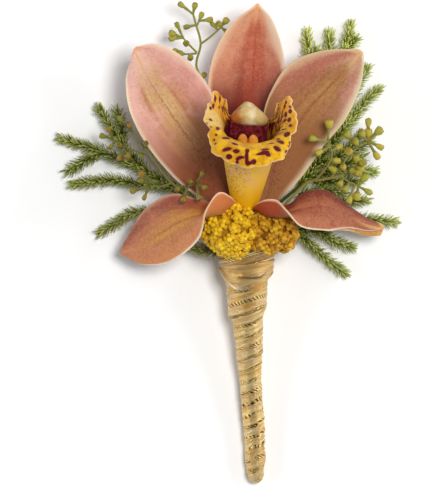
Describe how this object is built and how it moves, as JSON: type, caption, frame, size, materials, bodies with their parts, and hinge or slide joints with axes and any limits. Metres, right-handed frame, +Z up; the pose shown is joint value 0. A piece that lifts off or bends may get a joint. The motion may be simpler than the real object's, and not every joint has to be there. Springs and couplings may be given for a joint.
{
  "type": "boutonniere",
  "caption": "Orchid boutonniere lying on its back: one spotted-lipped bloom with fern sprigs, budded twigs and yarrow, bound into a tapered handle wrapped in gold ribbon.",
  "frame": {"origin": "on the table that the boutonniere lies on, under the middle of its outline", "axes": "+Z up from the table towards the front of the bloom, +Y from the cut end of the handle to the top of the bloom, +X to the right as the bloom is looked at"},
  "size_m": [0.0912, 0.1259, 0.0434],
  "materials": {
    "coral": "satin",
    "lip_yellow": "satin",
    "orange": "satin",
    "maroon": "satin",
    "cream": "satin",
    "stem": "satin",
    "fern": "matte",
    "bud": "matte",
    "yarrow": "matte",
    "wire": "satin",
    "tape": "matte",
    "ribbon": "satin"
  },
  "bodies": {
    "root": {"petal_left": "coral", "petal_right": "coral", "dorsal_sepal": "coral", "lateral_sepal_left": "coral", "lateral_sepal_right": "coral", "lip": "lip_yellow", "lip_callus": "orange", "column": "maroon", "anther_cap": "cream", "orchid_stem": "stem", "fern_left": "fern", "fern_left_low": "fern", "fern_right_top": "fern", "fern_right": "fern", "fern_right_low": "fern", "bud_twig_top": "bud", "bud_twig_left": "bud", "bud_twig_right": "bud", "yarrow_left": "yarrow", "yarrow_right": "yarrow", "florist_wire": "wire", "floral_tape": "tape", "gold_ribbon": "ribbon"}
  },
  "joints": []
}
